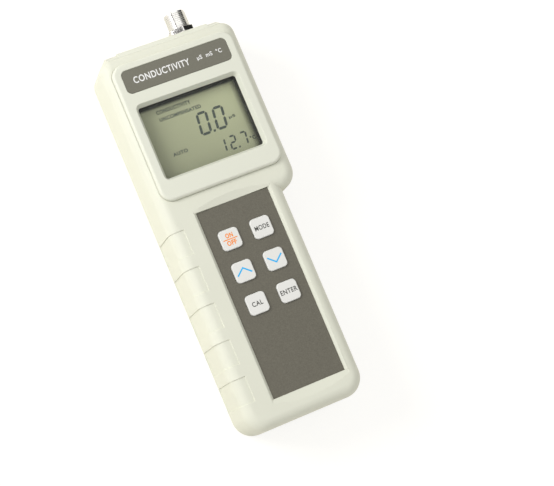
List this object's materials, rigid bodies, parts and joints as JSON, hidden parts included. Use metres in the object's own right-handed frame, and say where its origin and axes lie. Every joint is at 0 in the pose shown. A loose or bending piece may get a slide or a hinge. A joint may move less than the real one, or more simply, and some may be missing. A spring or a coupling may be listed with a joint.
{
  "type": "conductivity meter",
  "caption": "Hand-held conductivity meter: stepped case with finger grips, raised display bezel, square sprung keys, sliding battery door and a threaded probe socket.",
  "frame": {"origin": "centre line of the head, on the back face, half way along the case", "axes": "+Z out of the display, +Y to the probe connector, +X to the reader's right"},
  "size_m": [0.0702, 0.2055, 0.0362],
  "materials": {
    "case_plastic": "fine moulded texture, satin",
    "bezel_plastic": "smooth satin",
    "window": "clear polished acrylic",
    "name_plate": "printed film, satin",
    "black_plastic": "matte",
    "lcd_glass": "polarised display glass",
    "lcd_reflector": "satin reflective film",
    "foam": "matte",
    "overlay": "fine-grained printed film",
    "key_plastic": "satin",
    "key_mat": "silicone",
    "board": "solder mask",
    "chips": "moulded epoxy",
    "passives": "ceramic",
    "trimmers": "gloss",
    "battery": "printed steel jacket",
    "leads": "insulated wire",
    "steel": "zinc plated",
    "chrome": "nickel plated, bright",
    "contacts": "gold plated"
  },
  "bodies": {
    "case": {"front_case": "case_plastic", "rear_case": "case_plastic", "display_bezel": "bezel_plastic", "display_window": "window", "name_plate": "name_plate", "display_frame": "black_plastic", "lcd_front_glass": "lcd_glass", "lcd_rear_glass": "lcd_glass", "lcd_reflector": "lcd_reflector", "lcd_pad": "foam", "lcd_contact_strips": "foam", "keypad_overlay": "overlay", "key_mat": "key_mat", "key_pills": "foam", "main_board": "board", "board_chips": "chips", "board_passives": "passives", "crystal": "steel", "trimmers": "trimmers", "board_screws": "steel", "battery": "battery", "battery_snap": "black_plastic", "battery_leads": "leads", "case_screws": "steel", "end_plate": "bezel_plastic", "connector_barrel": "chrome", "connector_washer": "chrome", "connector_nut": "chrome", "connector_insert": "black_plastic", "connector_contacts": "contacts", "connector_leads": "leads"},
    "on_off_key": {"key_on_off": "key_plastic"},
    "mode_key": {"key_mode": "key_plastic"},
    "up_key": {"key_up": "key_plastic"},
    "down_key": {"key_down": "key_plastic"},
    "cal_key": {"key_cal": "key_plastic"},
    "enter_key": {"key_enter": "key_plastic"},
    "door": {"battery_door": "case_plastic"}
  },
  "joints": [
    {"name": "on_off_press", "type": "slide", "parent": "case", "child": "on_off_key", "axis": [0, 0, -1], "range_m": [0, 0.0007], "stiffness_N_per_m": 1500, "springref_m": -0.0004},
    {"name": "mode_press", "type": "slide", "parent": "case", "child": "mode_key", "axis": [0, 0, -1], "range_m": [0, 0.0007], "stiffness_N_per_m": 1500, "springref_m": -0.0004},
    {"name": "up_press", "type": "slide", "parent": "case", "child": "up_key", "axis": [0, 0, -1], "range_m": [0, 0.0007], "stiffness_N_per_m": 1500, "springref_m": -0.0004},
    {"name": "down_press", "type": "slide", "parent": "case", "child": "down_key", "axis": [0, 0, -1], "range_m": [0, 0.0007], "stiffness_N_per_m": 1500, "springref_m": -0.0004},
    {"name": "cal_press", "type": "slide", "parent": "case", "child": "cal_key", "axis": [0, 0, -1], "range_m": [0, 0.0007], "stiffness_N_per_m": 1500, "springref_m": -0.0004},
    {"name": "enter_press", "type": "slide", "parent": "case", "child": "enter_key", "axis": [0, 0, -1], "range_m": [0, 0.0007], "stiffness_N_per_m": 1500, "springref_m": -0.0004},
    {"name": "door_slide", "type": "slide", "parent": "case", "child": "door", "axis": [0, -1, 0], "range_m": [0, 0.06]}
  ]
}
